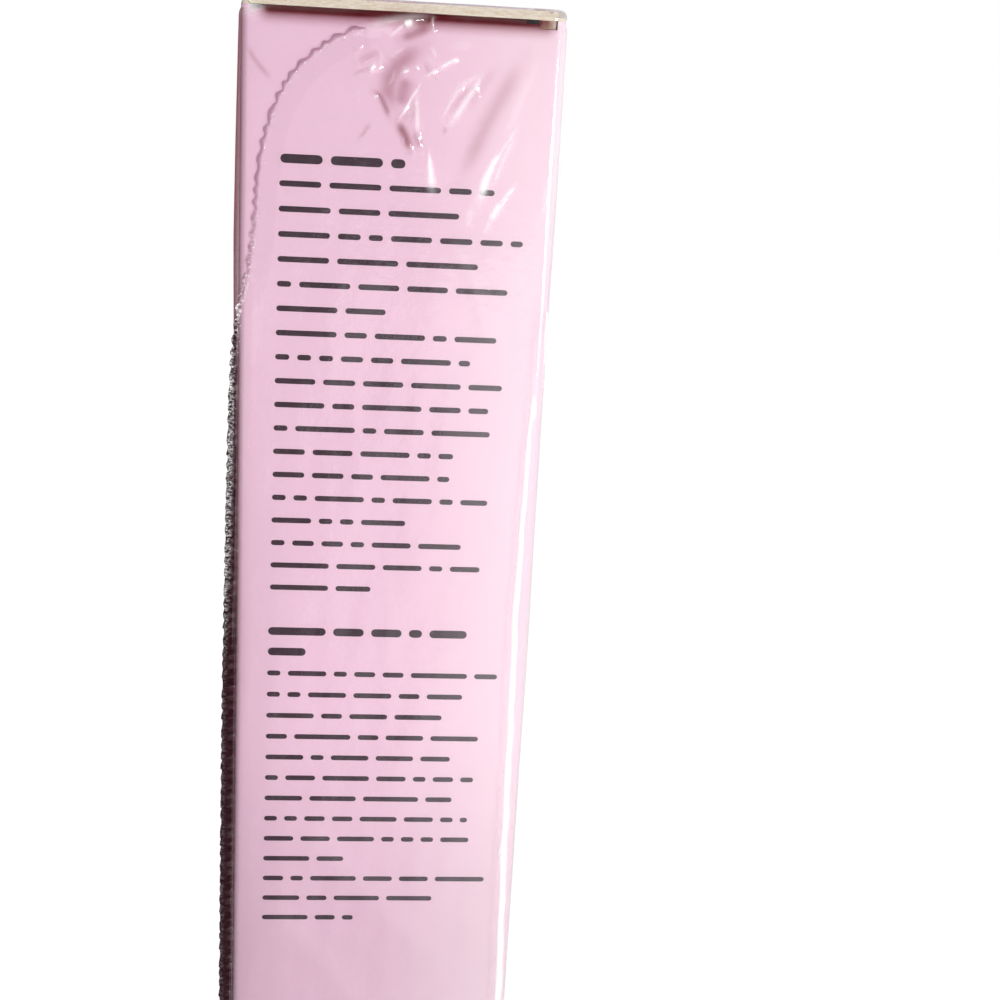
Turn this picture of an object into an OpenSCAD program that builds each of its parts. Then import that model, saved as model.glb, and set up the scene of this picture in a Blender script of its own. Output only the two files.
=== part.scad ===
// Nail oil pen in its printed paperboard carton, wrapped in clear film.
// Millimetres, +Z up, origin at the middle of the underside.
// The panel that faces the viewer is at -Y, the lid folds on the left edge and tucks in at the right.
// The pen stands inside with its twist knob down and its cap up.

/* [Carton] */
// Width of the carton, left to right
carton_w = 22; // [22:0.5:28]
// Depth of the carton, front to back
carton_d = 22; // [22:0.5:28]
// Height of the carton
carton_h = 150; // [149:1:170]
// Thickness of the paperboard
board_t = 0.6; // [0.4:0.05:0.7]
// Radius of the upright creases
crease_r = 0.5; // [0.2:0.05:0.55]
// Outer radius of the creases where the ends fold over
end_crease_r = 0.8; // [0.5:0.05:0.85]
// Length of the tuck flap on the lid
tuck_len = 10; // [7:0.5:10]
// Clearance from the tuck flap, which slopes in from upright, to the pen
tuck_clear = 0.45; // [0.3:0.05:0.8]
// Length of each dust flap
dust_len = 7.6; // [6:0.1:8]
// Width of the glued flap inside the back left corner
glue_w = 8; // [5:0.5:9]

/* [Film] */
// Thickness of the film, drawn thicker than the real one
film_t = 0.12; // [0.08:0.01:0.2]
// Space between the film and the board
film_gap = 0.05; // [0.03:0.01:0.1]
// How far the sealed seam stands out past the left edge
seam_out = 0.9; // [0.6:0.1:1.5]
// Width of the sealed seam
seam_w = 1.7; // [1.2:0.1:2.5]
// Pitch of the teeth along the cut edge of the seam
tooth_pitch = 1.05; // [0.8:0.05:2]
// Depth of those teeth
tooth_depth = 0.3; // [0.1:0.05:0.5]
// Height over which the seam curves in to the top
seam_drop = 38; // [16:1:40]
// How far the seam has curved in at the top
seam_reach = 7; // [4:0.5:10]
// Width of the film fold that lies along the front panel's right margin
fold_out = 1.3; // [0.8:0.1:2]
// Height of that fold
fold_h = 122; // [60:1:140]

/* [Pen] */
// Overall length of the capped pen
pen_len = 121; // [119:0.5:124]
// Diameter of the barrel and the cap
barrel_d = 11.6; // [11.4:0.1:12]
// Diameter of the barrel's bore
bore_d = 9.2; // [8.8:0.1:9.4]
// Length of the twist knob
knob_len = 16; // [14:0.5:18]
// Length of the cap
cap_len = 36.8; // [36:0.2:38]
// Diameter of the neck that the cap pushes onto
neck_d = 8.2; // [7.8:0.1:8.4]
// Length of that neck
neck_len = 6.8; // [6:0.1:7]
// Length of brush hair past its ferrule
hair_len = 9.2; // [7:0.1:9.4]
// Diameter of the brush hair
hair_d = 4; // [3:0.1:4.4]
// Travel of the piston
stroke = 28; // [20:1:29]
// Diameter of the lead screw
screw_d = 4.6; // [4.2:0.1:4.8]
// Pitch of the lead screw
screw_pitch = 2; // [1.5:0.1:2.5]

/* [Hidden] */
$fn = 64;

// One overrun serves every cut
overrun = 1;
// Running clearance between pen parts that move on each other, on the radius
run_gap = 0.05;
// Clearance between pen parts that are pressed together, on the radius
press_gap = 0.02;

// Carton: clearances of the folds, then the places that follow from the sizes
fold_gap = 0.05;
lay_gap = 0.05;
tuck_gap = 0.15;
lid_inset = 0.2;
raw_drop = 0.4;
tuck_r = 3;
dust_side_gap = 0.3;
dust_tuck_gap = 1.95;
dust_cut_share = 1.1;
dust_corner = 1.2;
glue_inset = 13;
half_w = carton_w / 2;
half_d = carton_d / 2;
carton_top = film_t + carton_h;
carton_mid = film_t + carton_h / 2;
dust_top = carton_top - board_t - lay_gap;
fold_x = half_w - board_t - tuck_gap;
tuck_slope = asin((fold_x - board_t - barrel_d / 2 - tuck_clear) / tuck_len);
fold_turn = 90 + tuck_slope;
fold_mitre = board_t * tan(fold_turn / 2) + fold_gap;
lid_d = carton_d - 2 * lid_inset;
tuck_w = carton_d - 2 * board_t - 2 * dust_side_gap;
fold_reach = crease_r * tan(fold_turn / 2);
// Notch in the front and back walls beside the tuck flap's fold
notch_drop = 1.2;
notch_reach = 1.1;

// Film
film_off = film_gap + film_t;
film_top_drop = 0.1;
seam_start = 1.5;
seam_steps = 40;
seam_ease_share = 0.6;
fold_taper_share = 0.35;

// Pen, from the floor up
pen_gap = 0.2;
pen_z = film_t + 2 * board_t + lay_gap + pen_gap;
barrel_r = barrel_d / 2;
bore_r = bore_d / 2;
joint_gap = 0.2;
barrel_z = pen_z + knob_len + joint_gap;
shoulder_z = pen_z + pen_len - cap_len - joint_gap;
cap_z = shoulder_z + joint_gap;
cap_top = pen_z + pen_len;
edge_r = 0.6;

// Collar ring round the front of the barrel
collar_len = 3;
collar_t = 0.5;

// Nozzle block: plug in the bore, neck and seal groove
plug_len = 4;
neck_r = neck_d / 2;
neck_top = shoulder_z + neck_len;
feed_r = 1;
feed_wall = 0.45;
seal_r = 0.35;
seal_up_share = 0.55;
seal_z = shoulder_z + neck_len * seal_up_share;
seal_sink_share = 0.75;
seal_c = neck_r + seal_r * (1 - 2 * seal_sink_share);

// Brush
ferrule_r = 2.3;
ferrule_len = 5;
ferrule_foot_r = 3.2;
ferrule_foot = 1;
ferrule_wall = 0.25;
hair_z = neck_top + ferrule_len;
hair_root = 3;
hair_tip_share = 0.45;
hair_round_shares = [0.8, 0.35];

// Cap shell and the liner that seals over the brush
cap_wall = 0.8;
cap_roof = 1.6;
cap_round = 2;
liner_in = 0.2;
liner_neck_len = 8;
liner_cup_r = 3.2;
liner_cup_wall = 0.8;
liner_head = 5.4;
liner_top = hair_z + hair_len + liner_head;

// Twist knob: grip flutes, ratchet teeth and bores
knob_step = 0.2;
knob_r = barrel_r - knob_step;
knob_round = 1;
flute_n = 24;
flute_r = 0.45;
flute_low = 2.5;
flute_top = 1.5;
knob_floor = 2;
ratchet_n = 24;
ratchet_r = 0.25;
ratchet_len = 3;
click_r = 4.35;
plug_recess = 0.8;
plug_r = 3.6;

// Driver tube, which turns with the knob and drives the screw
driver_r = 3.4;
driver_bore_r = screw_d / 2 + run_gap;
driver_z = pen_z + knob_floor;
driver_floor = 0.5;
guide_len = 3;
piston_len = 5;
nozzle_back = shoulder_z - plug_len;
stroke_spare = 0.6;
piston_gap = 0.4;
piston_z = nozzle_back - stroke - piston_len - stroke_spare;
guide_z = piston_z - guide_len - piston_gap;
driver_top = guide_z - joint_gap;
bush_len = 4;

// Lead screw with two flats, and the piston on its end
flat_share = 0.72;
thread_depth = 0.35;
stub_r = 1.4;
stub_len = 3.4;
screw_lift = 1.2;
thread_shares = [0.3, 0.5, 0.8];
screw_z = driver_z + screw_lift;
screw_top = piston_z;
piston_r = bore_r - 2 * run_gap;
ring_r = 0.45;
ring_shares = [0.3, 0.7];

// Two-dimensional helper: a rectangle about the origin with rounded corners
module round_rect(w, d, r) {
    union() {
        square([w - 2 * r, d], center = true);
        square([w, d - 2 * r], center = true);
        for (x = [-1, 1], y = [-1, 1])
            translate([x * (w / 2 - r), y * (d / 2 - r)])
                circle(r);
    }
}

// Stands an outline drawn in x and z up, and gives it a depth along y about the middle
module along_y(depth) {
    translate([0, depth / 2, 0])
        rotate([90, 0, 0])
            linear_extrude(depth)
                children();
}

// Gives an outline drawn in y and z a length along x, from x0 to x1
module along_x(x0, x1) {
    translate([x0, 0, 0])
        rotate([90, 0, 90])
            linear_extrude(x1 - x0)
                children();
}

// Two-dimensional helper: what a crease of radius r takes off a corner at the origin that points
// up and right, where its round begins at reach from the corner
module crease_cut(reach, r) {
    difference() {
        translate([-reach, -r])
            square([reach + overrun, r + overrun]);
        translate([-reach, -r])
            circle(r);
    }
}

// Turns a top closure into the bottom one: the lid then folds on the other side
module at_bottom() {
    translate([0, 0, 2 * carton_mid])
        rotate([0, 180, 0])
            children();
}

// Tube or disc about the pen's axis, from z0 to z1
module turned(z0, z1, r, bore = 0) {
    translate([0, 0, z0])
        difference() {
            cylinder(r = r, h = z1 - z0);
            if (bore > 0)
                translate([0, 0, -overrun])
                    cylinder(r = bore, h = z1 - z0 + 2 * overrun);
        }
}

// What the folds take off the top of the four walls
module wall_end_cuts() {
    // Left wall: a mitre for the lid's hinge, and the round of its crease
    along_y(carton_d + 2 * overrun)
        union() {
            polygon([[-half_w - overrun, carton_top + overrun],
                [-half_w + board_t + fold_gap, carton_top - board_t - fold_gap],
                [-half_w + board_t + fold_gap, carton_top + overrun]]);
            translate([-half_w, carton_top])
                scale([-1, 1])
                    crease_cut(end_crease_r, end_crease_r);
        }
    // Front and back walls: a mitre for the dust flaps, below the lid, and the round of their crease
    for (side = [-1, 1])
        scale([1, side, 1])
            along_x(-half_w + board_t, half_w - board_t)
                union() {
                    polygon([[half_d + overrun, dust_top + overrun],
                        [half_d - board_t - overrun, dust_top - board_t - overrun],
                        [half_d - board_t - overrun, carton_top + overrun],
                        [half_d + overrun, carton_top + overrun]]);
                    translate([half_d, dust_top])
                        crease_cut(end_crease_r, end_crease_r);
                }
    // Front and back walls: a notch beside the tuck flap's fold
    translate([fold_x - notch_reach, -half_d - overrun, carton_top - notch_drop])
        cube([half_w - board_t - fold_x + notch_reach, carton_d + 2 * overrun, notch_drop + overrun]);
    // Right wall: a plain cut edge beside the lid
    translate([half_w - board_t - overrun, -half_d - overrun, carton_top - raw_drop])
        cube([board_t + 2 * overrun, carton_d + 2 * overrun, raw_drop + overrun]);
}

// Four walls of the carton, one folded tube of board
module carton_sleeve() {
    color("pink")
        difference() {
            translate([0, 0, film_t])
                linear_extrude(carton_h)
                    difference() {
                        round_rect(carton_w, carton_d, crease_r);
                        square([carton_w - 2 * board_t, carton_d - 2 * board_t], center = true);
                    }
            wall_end_cuts();
            at_bottom()
                wall_end_cuts();
        }
}

// Flap glued to the inside of the left wall, which closes the tube
module glue_flap() {
    y0 = half_d - board_t;
    low = film_t + glue_inset;
    high = carton_top - glue_inset;
    color("antiquewhite")
        along_x(-half_w + board_t, -half_w + 2 * board_t)
            polygon([[y0, low], [y0, high], [y0 - glue_w, high - glue_w], [y0 - glue_w, low + glue_w]]);
}

// Panel that closes an end, mitred and rounded at its hinge and at its fold
module end_panel() {
    along_y(lid_d)
        difference() {
            polygon([[-half_w, carton_top], [fold_x, carton_top],
                [fold_x - fold_mitre, carton_top - board_t],
                [-half_w + board_t + fold_gap, carton_top - board_t]]);
            translate([-half_w, carton_top])
                scale([-1, 1])
                    crease_cut(end_crease_r, end_crease_r);
            translate([fold_x, carton_top])
                crease_cut(fold_reach, crease_r);
        }
}

// Flap that tucks in behind the right wall, with rounded corners
module end_tuck() {
    translate([fold_x, 0, carton_top])
        rotate([0, fold_turn, 0])
            intersection() {
                along_y(carton_d)
                    difference() {
                        polygon([[0, 0], [tuck_len, 0], [tuck_len, -board_t], [fold_mitre, -board_t]]);
                        scale([-1, 1])
                            crease_cut(fold_reach, crease_r);
                    }
                translate([0, 0, -board_t - overrun])
                    linear_extrude(board_t + 2 * overrun)
                        union() {
                            translate([0, -tuck_w / 2])
                                square([tuck_len - tuck_r, tuck_w]);
                            translate([0, -tuck_w / 2 + tuck_r])
                                square([tuck_len, tuck_w - 2 * tuck_r]);
                            for (side = [-1, 1])
                                translate([tuck_len - tuck_r, side * (tuck_w / 2 - tuck_r)])
                                    circle(tuck_r);
                        }
            }
}

// Dust flap on the front wall, cut back beside the lid's hinge so that it can rise with the lid
module end_dust() {
    left = -half_w + board_t + dust_side_gap;
    right = fold_x - dust_tuck_gap;
    translate([0, -half_d, dust_top])
        intersection() {
            along_x(-half_w, half_w)
                difference() {
                    polygon([[0, 0], [dust_len, 0], [dust_len, -board_t], [board_t + fold_gap, -board_t]]);
                    scale([-1, 1])
                        crease_cut(end_crease_r, end_crease_r);
                }
            translate([0, 0, -board_t - overrun])
                linear_extrude(board_t + 2 * overrun)
                    polygon([[left, 0], [right, 0], [right, dust_len - dust_corner],
                        [right - dust_corner, dust_len], [left + dust_cut_share * dust_len, dust_len]]);
        }
}

module lid_panel() {
    color("pink")
        end_panel();
}

module tuck_flap() {
    color("pink")
        end_tuck();
}

module front_dust_flap() {
    color("mistyrose")
        end_dust();
}

module back_dust_flap() {
    color("mistyrose")
        scale([1, -1, 1])
            end_dust();
}

module bottom_panel() {
    color("pink")
        at_bottom()
            end_panel();
}

module bottom_tuck_flap() {
    color("pink")
        at_bottom()
            end_tuck();
}

module bottom_dust_flaps() {
    color("mistyrose")
        at_bottom()
            for (side = [-1, 1])
                scale([1, side, 1])
                    end_dust();
}

// Film round the four walls
module film_sleeve() {
    color("lavenderblush")
        translate([0, 0, film_t])
            linear_extrude(dust_top - film_top_drop - film_t)
                difference() {
                    round_rect(carton_w + 2 * film_off, carton_d + 2 * film_off, crease_r + film_off);
                    round_rect(carton_w + 2 * film_gap, carton_d + 2 * film_gap, crease_r + film_gap);
                }
}

// Line of the seam seen from the front: up past the left edge, then a quarter ellipse to the top
seam_rise = dust_top - film_top_drop - seam_drop - seam_start;
seam_arc_w = seam_reach + seam_out;
seam_arc_len = 90 * PI / 180 * sqrt((seam_arc_w * seam_arc_w + seam_drop * seam_drop) / 2);
seam_len = seam_rise + seam_arc_len;
seam_teeth = floor(seam_len / tooth_pitch);
// Turn of the arc at a length u along the seam, eased so that the teeth stay about as long
function seam_turn(u) =
    let (s = max(0, u - seam_rise) / seam_arc_len)
    90 * (seam_ease_share * s + (1 - seam_ease_share) * s * s);
function seam_point(u, inset) =
    let (turn = seam_turn(u), along = [seam_arc_w * sin(turn), seam_drop * cos(turn)])
    [-half_w - seam_out + seam_arc_w * (1 - cos(turn)),
     seam_start + min(u, seam_rise) + seam_drop * sin(turn)]
    + inset * [along[1], -along[0]] / norm(along);

// Sealed seam: a flat band with a toothed cut edge
module film_seam() {
    outer = [for (k = [0:2 * seam_teeth])
        seam_point(seam_len * k / (2 * seam_teeth), k % 2 == 0 ? 0 : tooth_depth)];
    inner = [for (k = [seam_steps:-1:0]) seam_point(seam_len * k / seam_steps, seam_w)];
    color("white")
        translate([0, -half_d - film_off, 0])
            rotate([90, 0, 0])
                linear_extrude(film_t)
                    polygon(concat(outer, inner));
}

// Film left over at the right edge, pressed flat on the front panel's margin, which narrows upwards
module film_edge_fold() {
    edge = half_w + film_gap;
    color("white")
        translate([0, -half_d - film_off, 0])
            rotate([90, 0, 0])
                linear_extrude(film_t)
                    polygon([[edge - fold_out, seam_start], [edge, seam_start], [edge, fold_h],
                        [edge - fold_out * (1 - fold_taper_share), fold_h / 2]]);
}

module film_top_end() {
    color("lavenderblush")
        translate([0, 0, carton_top + film_gap])
            linear_extrude(film_t)
                intersection() {
                    round_rect(carton_w + 2 * film_off, carton_d + 2 * film_off, crease_r + film_off);
                    translate([-half_w, -carton_d])
                        square(2 * [carton_w, carton_d]);
                }
}

module film_bottom_end() {
    color("lavenderblush")
        linear_extrude(film_t)
            round_rect(carton_w + 2 * film_off, carton_d + 2 * film_off, crease_r + film_off);
}

// Barrel: a plain tube, stepped down at the front for the collar ring
module barrel() {
    color("lightpink")
        rotate_extrude()
            polygon([[bore_r, barrel_z], [barrel_r - edge_r, barrel_z], [barrel_r, barrel_z + edge_r],
                [barrel_r, shoulder_z - collar_len], [barrel_r - collar_t, shoulder_z - collar_len],
                [barrel_r - collar_t, shoulder_z], [bore_r, shoulder_z]]);
}

module collar_ring() {
    color("gold")
        turned(shoulder_z - collar_len, shoulder_z, barrel_r, barrel_r - collar_t + press_gap);
}

// Plug pressed into the barrel, with the neck for the cap and the way through for the oil
module nozzle_block() {
    color("white")
        difference() {
            union() {
                turned(nozzle_back, shoulder_z, bore_r - press_gap);
                turned(shoulder_z, neck_top, neck_r);
            }
            turned(nozzle_back - overrun, neck_top + overrun, feed_r + press_gap);
            translate([0, 0, seal_z])
                rotate_extrude()
                    translate([seal_c, 0])
                        circle(seal_r + press_gap);
        }
}

module neck_seal() {
    color("dimgray")
        translate([0, 0, seal_z])
            rotate_extrude()
                translate([seal_c, 0])
                    circle(seal_r);
}

module feed_tube() {
    color("whitesmoke")
        turned(nozzle_back, hair_z - ferrule_foot, feed_r, feed_r - feed_wall);
}

// Brush holder: a foot on the neck and a thin sleeve round the hair
module ferrule() {
    color("silver")
        difference() {
            union() {
                turned(neck_top, neck_top + ferrule_foot, ferrule_foot_r);
                turned(neck_top, hair_z, ferrule_r);
            }
            turned(neck_top - overrun, hair_z + overrun, feed_r + press_gap);
            turned(hair_z - hair_root, hair_z + overrun, ferrule_r - ferrule_wall);
        }
}

// Brush hair: a round tuft that draws in to a soft point, with the feed tube inside its root
module brush_hair() {
    r = hair_d / 2;
    tip = hair_z + hair_len;
    full = tip - hair_len * hair_tip_share;
    color("ivory")
        difference() {
            rotate_extrude()
                polygon([[0, hair_z - hair_root], [ferrule_r - ferrule_wall - press_gap, hair_z - hair_root],
                    [ferrule_r - ferrule_wall - press_gap, hair_z], [r, hair_z + ferrule_foot], [r, full],
                    [r * hair_round_shares[0], (full + tip) / 2],
                    [r * hair_round_shares[1], tip - edge_r / 2], [0, tip]]);
            turned(hair_z - hair_root - overrun, hair_z - ferrule_foot + run_gap, feed_r + run_gap);
        }
}

// Bush at the back of the barrel, which the driver tube turns in
module rear_bush() {
    color("gainsboro")
        turned(barrel_z, barrel_z + bush_len, bore_r - press_gap, driver_r + run_gap);
}

// Ring with two bumps that click past the knob's inner teeth
module click_ring() {
    z0 = barrel_z - ratchet_len;
    color("lightgray")
        union() {
            turned(z0, barrel_z, click_r - ratchet_r, driver_r + run_gap);
            for (side = [-1, 1])
                translate([side * (click_r - 2 * ratchet_r), 0, z0])
                    cylinder(r = 2 * ratchet_r - run_gap, h = ratchet_len);
        }
}

// Outline of the screw's cross section and of the hole that keeps it from turning
module keyed(r, gap = 0) {
    intersection() {
        circle(r + gap);
        square([2 * (r + gap), 2 * (r * flat_share + gap)], center = true);
    }
}

module guide_bush() {
    color("gainsboro")
        difference() {
            turned(guide_z, guide_z + guide_len, bore_r - press_gap);
            translate([0, 0, guide_z - overrun])
                linear_extrude(guide_len + 2 * overrun)
                    keyed(screw_d / 2, run_gap);
        }
}

// Cap: a thin shell with a rounded crown
module cap_shell() {
    inner_r = barrel_r - cap_wall;
    color("mistyrose")
        rotate_extrude()
            union() {
                translate([inner_r, cap_z])
                    square([cap_wall, cap_len - cap_round]);
                translate([0, cap_top - cap_roof])
                    square([barrel_r - cap_round, cap_roof]);
                intersection() {
                    translate([barrel_r - cap_round, cap_top - cap_round])
                        circle(cap_round);
                    translate([barrel_r - cap_round, cap_top - cap_round])
                        square(cap_round);
                }
                translate([barrel_r - cap_round - edge_r, cap_top - cap_round - edge_r])
                    square([cap_round, cap_round]);
            }
}

// Liner: grips the neck, then narrows to a cup that keeps the brush from drying
module cap_liner() {
    outer_r = barrel_r - cap_wall - press_gap;
    neck_end = cap_z + liner_in + liner_neck_len;
    bore = seal_c + seal_r + run_gap;
    color("white")
        rotate_extrude()
            polygon([[bore, cap_z + liner_in], [outer_r, cap_z + liner_in], [outer_r, neck_end],
                [liner_cup_r + liner_cup_wall, neck_end + liner_cup_wall],
                [liner_cup_r + liner_cup_wall, liner_top], [0, liner_top],
                [0, liner_top - liner_cup_wall], [liner_cup_r, liner_top - liner_cup_wall],
                [liner_cup_r, neck_end], [bore, neck_end - liner_cup_wall]]);
}

// Twist knob: fluted grip outside, ratchet teeth and the driver's seat inside
module knob() {
    top = pen_z + knob_len;
    color("white")
        difference() {
            rotate_extrude()
                union() {
                    translate([0, pen_z + knob_round])
                        square([knob_r, knob_len - knob_round]);
                    translate([0, pen_z])
                        square([knob_r - knob_round, knob_round]);
                    translate([knob_r - knob_round, pen_z + knob_round])
                        circle(knob_round);
                }
            for (k = [0:flute_n - 1])
                rotate([0, 0, 360 * k / flute_n])
                    translate([knob_r + flute_r / 2, 0, pen_z + flute_low])
                        cylinder(r = flute_r, h = knob_len - flute_low - flute_top);
            turned(driver_z, top + overrun, driver_r + press_gap);
            turned(top - ratchet_len, top + overrun, click_r + run_gap);
            for (k = [0:ratchet_n - 1])
                rotate([0, 0, 360 * (2 * k + 1) / (2 * ratchet_n)])
                    translate([click_r + run_gap, 0, top - ratchet_len])
                        cylinder(r = ratchet_r, h = ratchet_len + overrun);
            turned(pen_z - overrun, pen_z + plug_recess, plug_r + press_gap);
        }
}

// Disc that closes the knob's underside
module knob_plug() {
    color("gold")
        turned(pen_z + run_gap, pen_z + plug_recess, plug_r);
}

module driver_tube() {
    color("silver")
        difference() {
            turned(driver_z, driver_top, driver_r);
            turned(driver_z + driver_floor, driver_top + overrun, driver_bore_r);
        }
}

// Lead screw: thread drawn as rings at its pitch, with two flats that the guide bush holds
module lead_screw() {
    r = screw_d / 2;
    turns = floor((screw_top - screw_z - screw_pitch) / screw_pitch);
    color("white")
        union() {
            intersection() {
                rotate_extrude()
                    union() {
                        translate([0, screw_z])
                            square([r - thread_depth, screw_top - screw_z]);
                        for (k = [0:turns])
                            translate([0, screw_z + k * screw_pitch])
                                polygon([[0, 0], [r - thread_depth, 0], [r, screw_pitch * thread_shares[0]],
                                    [r, screw_pitch * thread_shares[1]],
                                    [r - thread_depth, screw_pitch * thread_shares[2]],
                                    [0, screw_pitch * thread_shares[2]]]);
                    }
                translate([0, 0, screw_z - overrun])
                    linear_extrude(screw_top - screw_z + overrun)
                        keyed(r);
            }
            turned(screw_top, screw_top + stub_len, stub_r);
        }
}

// Piston: pushed onto the screw's stub, with two grooves for its rings
module piston() {
    color("lightgray")
        difference() {
            turned(piston_z, piston_z + piston_len, piston_r);
            turned(piston_z - overrun, piston_z + stub_len + press_gap, stub_r + press_gap);
            for (share = ring_shares)
                translate([0, 0, piston_z + piston_len * share])
                    rotate_extrude()
                        translate([bore_r - run_gap - ring_r, 0])
                            circle(ring_r + press_gap);
        }
}

module piston_seals() {
    color("dimgray")
        for (share = ring_shares)
            translate([0, 0, piston_z + piston_len * share])
                rotate_extrude()
                    translate([bore_r - run_gap - ring_r, 0])
                        circle(ring_r);
}

carton_sleeve();
glue_flap();
bottom_panel();
bottom_tuck_flap();
bottom_dust_flaps();
lid_panel();
tuck_flap();
front_dust_flap();
back_dust_flap();
film_sleeve();
film_seam();
film_edge_fold();
film_top_end();
film_bottom_end();
barrel();
collar_ring();
nozzle_block();
neck_seal();
feed_tube();
ferrule();
brush_hair();
rear_bush();
click_ring();
guide_bush();
cap_shell();
cap_liner();
knob();
knob_plug();
driver_tube();
lead_screw();
piston();
piston_seals();
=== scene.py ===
import math
import random

import bpy
import numpy as np
from mathutils import Matrix, Vector


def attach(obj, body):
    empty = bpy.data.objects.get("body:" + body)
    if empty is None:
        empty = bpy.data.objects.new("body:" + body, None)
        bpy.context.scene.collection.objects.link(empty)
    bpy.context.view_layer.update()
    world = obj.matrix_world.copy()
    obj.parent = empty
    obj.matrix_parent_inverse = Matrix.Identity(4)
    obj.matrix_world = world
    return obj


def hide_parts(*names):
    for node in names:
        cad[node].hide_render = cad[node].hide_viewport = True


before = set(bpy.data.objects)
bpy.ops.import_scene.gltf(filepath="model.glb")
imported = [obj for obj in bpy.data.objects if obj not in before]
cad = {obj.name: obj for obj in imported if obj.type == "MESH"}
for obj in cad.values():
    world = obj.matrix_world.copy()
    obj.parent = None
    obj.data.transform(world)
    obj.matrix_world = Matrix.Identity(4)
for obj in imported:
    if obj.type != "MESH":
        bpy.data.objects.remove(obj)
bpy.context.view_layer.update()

# Camera: level with the carton's lid, a hand's width in front of the printed panel and
# turned a little down, so that the panel narrows towards the foot and the lid is seen edge on.
camera_data = bpy.data.cameras.new("camera")
camera_data.sensor_width = 36
camera_data.lens = 57.6
camera_data.clip_start = 0.005
camera = bpy.data.objects.new("camera", camera_data)
camera.matrix_world = (
    Matrix.Translation((-0.00316, -0.12395, 0.14932))
    @ Matrix.Rotation(math.radians(-5.81), 4, "Z")
    @ Matrix.Rotation(math.radians(-16.65), 4, "X")
    @ Matrix.Rotation(math.radians(-3.34), 4, "Y")
    @ Matrix.Rotation(math.radians(90), 4, "X")
)
bpy.context.scene.collection.objects.link(camera)
bpy.context.scene.camera = camera
bpy.context.scene.view_settings.view_transform = "Standard"


# Table and light: a white laminate table in a white room. Soft light comes from the front, the
# right and behind, and little from above or the left. A lamp low on the right glints on the film.
MM = 0.001


def linear(hex_colour):
    """sRGB hex to the linear colour that Blender takes."""
    parts = [int(hex_colour[i:i + 2], 16) / 255 for i in (1, 3, 5)]
    return [c / 12.92 if c <= 0.04045 else ((c + 0.055) / 1.055) ** 2.4 for c in parts] + [1.0]


def add(tree, kind, inputs=None, **settings):
    """One node, with its settings, and its sockets set to a value or linked from another node."""
    made = tree.nodes.new(kind)
    for name, value in settings.items():
        setattr(made, name, value)
    for key, value in (inputs or {}).items():
        if isinstance(value, bpy.types.NodeSocket):
            tree.links.new(value, made.inputs[key])
        else:
            made.inputs[key].default_value = value
    return made


def new_material(name):
    """An empty material and its node tree."""
    material = bpy.data.materials.new(name)
    material.use_nodes = True
    material.node_tree.nodes.clear()
    return material, material.node_tree


def finish_with(tree, shader):
    """Joins a material's last shader to its surface."""
    add(tree, "ShaderNodeOutputMaterial", {"Surface": shader.outputs[0]})


def mesh_piece(name, points, faces, material, smooth=True):
    """A mesh object from points in millimetres, with one material."""
    data = bpy.data.meshes.new(name)
    data.from_pydata([tuple(float(c) * MM for c in p) for p in points], [], [list(map(int, f)) for f in faces])
    data.update()
    data.polygons.foreach_set("use_smooth", [smooth] * len(data.polygons))
    data.materials.append(material)
    made = bpy.data.objects.new(name, data)
    bpy.context.scene.collection.objects.link(made)
    return made


# Laminate: matt white with a faint grain of about 2 mm. In the object's gloss it glows a painted reflection: bright on
# the right, and dark rose-brown on the left, lighter further back
table_material, tree = new_material("white laminate table")
path = add(tree, "ShaderNodeLightPath")
seen = add(tree, "ShaderNodeMath", {0: path.outputs["Is Camera Ray"], 1: path.outputs["Is Transmission Ray"]},
           operation="MAXIMUM")
grain = add(tree, "ShaderNodeTexNoise", {"Scale": 900.0, "Detail": 2.0})
tone = add(tree, "ShaderNodeMix", {"Factor": grain.outputs["Fac"], "A": linear("#f2f2f2"), "B": linear("#fafafa")},
           data_type="RGBA")
laminate = add(tree, "ShaderNodeBsdfPrincipled", {"Base Color": tone.outputs["Result"], "Roughness": 0.6})
place = add(tree, "ShaderNodeTexCoord")
parts = add(tree, "ShaderNodeSeparateXYZ", {0: place.outputs["Object"]})
towards_right = add(tree, "ShaderNodeMapRange", {"Value": parts.outputs[0], "From Min": -0.02, "From Max": 0.02})
far_back = add(tree, "ShaderNodeMapRange", {"Value": parts.outputs[1], "From Min": 0.12, "From Max": 0.6})
# Painted reflection: seen in gloss, the table glows dark rose-brown on its left
painted_reflection_left = add(tree, "ShaderNodeMix", {"Factor": far_back.outputs[0], "A": linear("#3a1620"), "B": linear("#9a4a5e")},
              data_type="RGBA")
mirror_image = add(tree, "ShaderNodeMix",
                   {"Factor": towards_right.outputs[0], "A": painted_reflection_left.outputs["Result"], "B": linear("#ffffff")},
                   data_type="RGBA")
shown = add(tree, "ShaderNodeMix",
            {"Factor": path.outputs["Is Glossy Ray"], "A": linear("#ffffff"), "B": mirror_image.outputs["Result"]},
            data_type="RGBA")
glow = add(tree, "ShaderNodeEmission", {"Color": shown.outputs["Result"], "Strength": 1.08})
either = add(tree, "ShaderNodeMath", {0: seen.outputs[0], 1: path.outputs["Is Glossy Ray"]}, operation="MAXIMUM")
share = add(tree, "ShaderNodeMath", {0: either.outputs[0], 1: 0.92}, operation="MULTIPLY")
both = add(tree, "ShaderNodeMixShader", {0: share.outputs[0], 1: laminate.outputs[0], 2: glow.outputs[0]})
finish_with(tree, both)
reach = 900
table = mesh_piece("table", [(-reach, -reach, 0), (reach, -reach, 0), (reach, reach, 0), (-reach, reach, 0)],
                   [(0, 1, 2, 3)], table_material)

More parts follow.
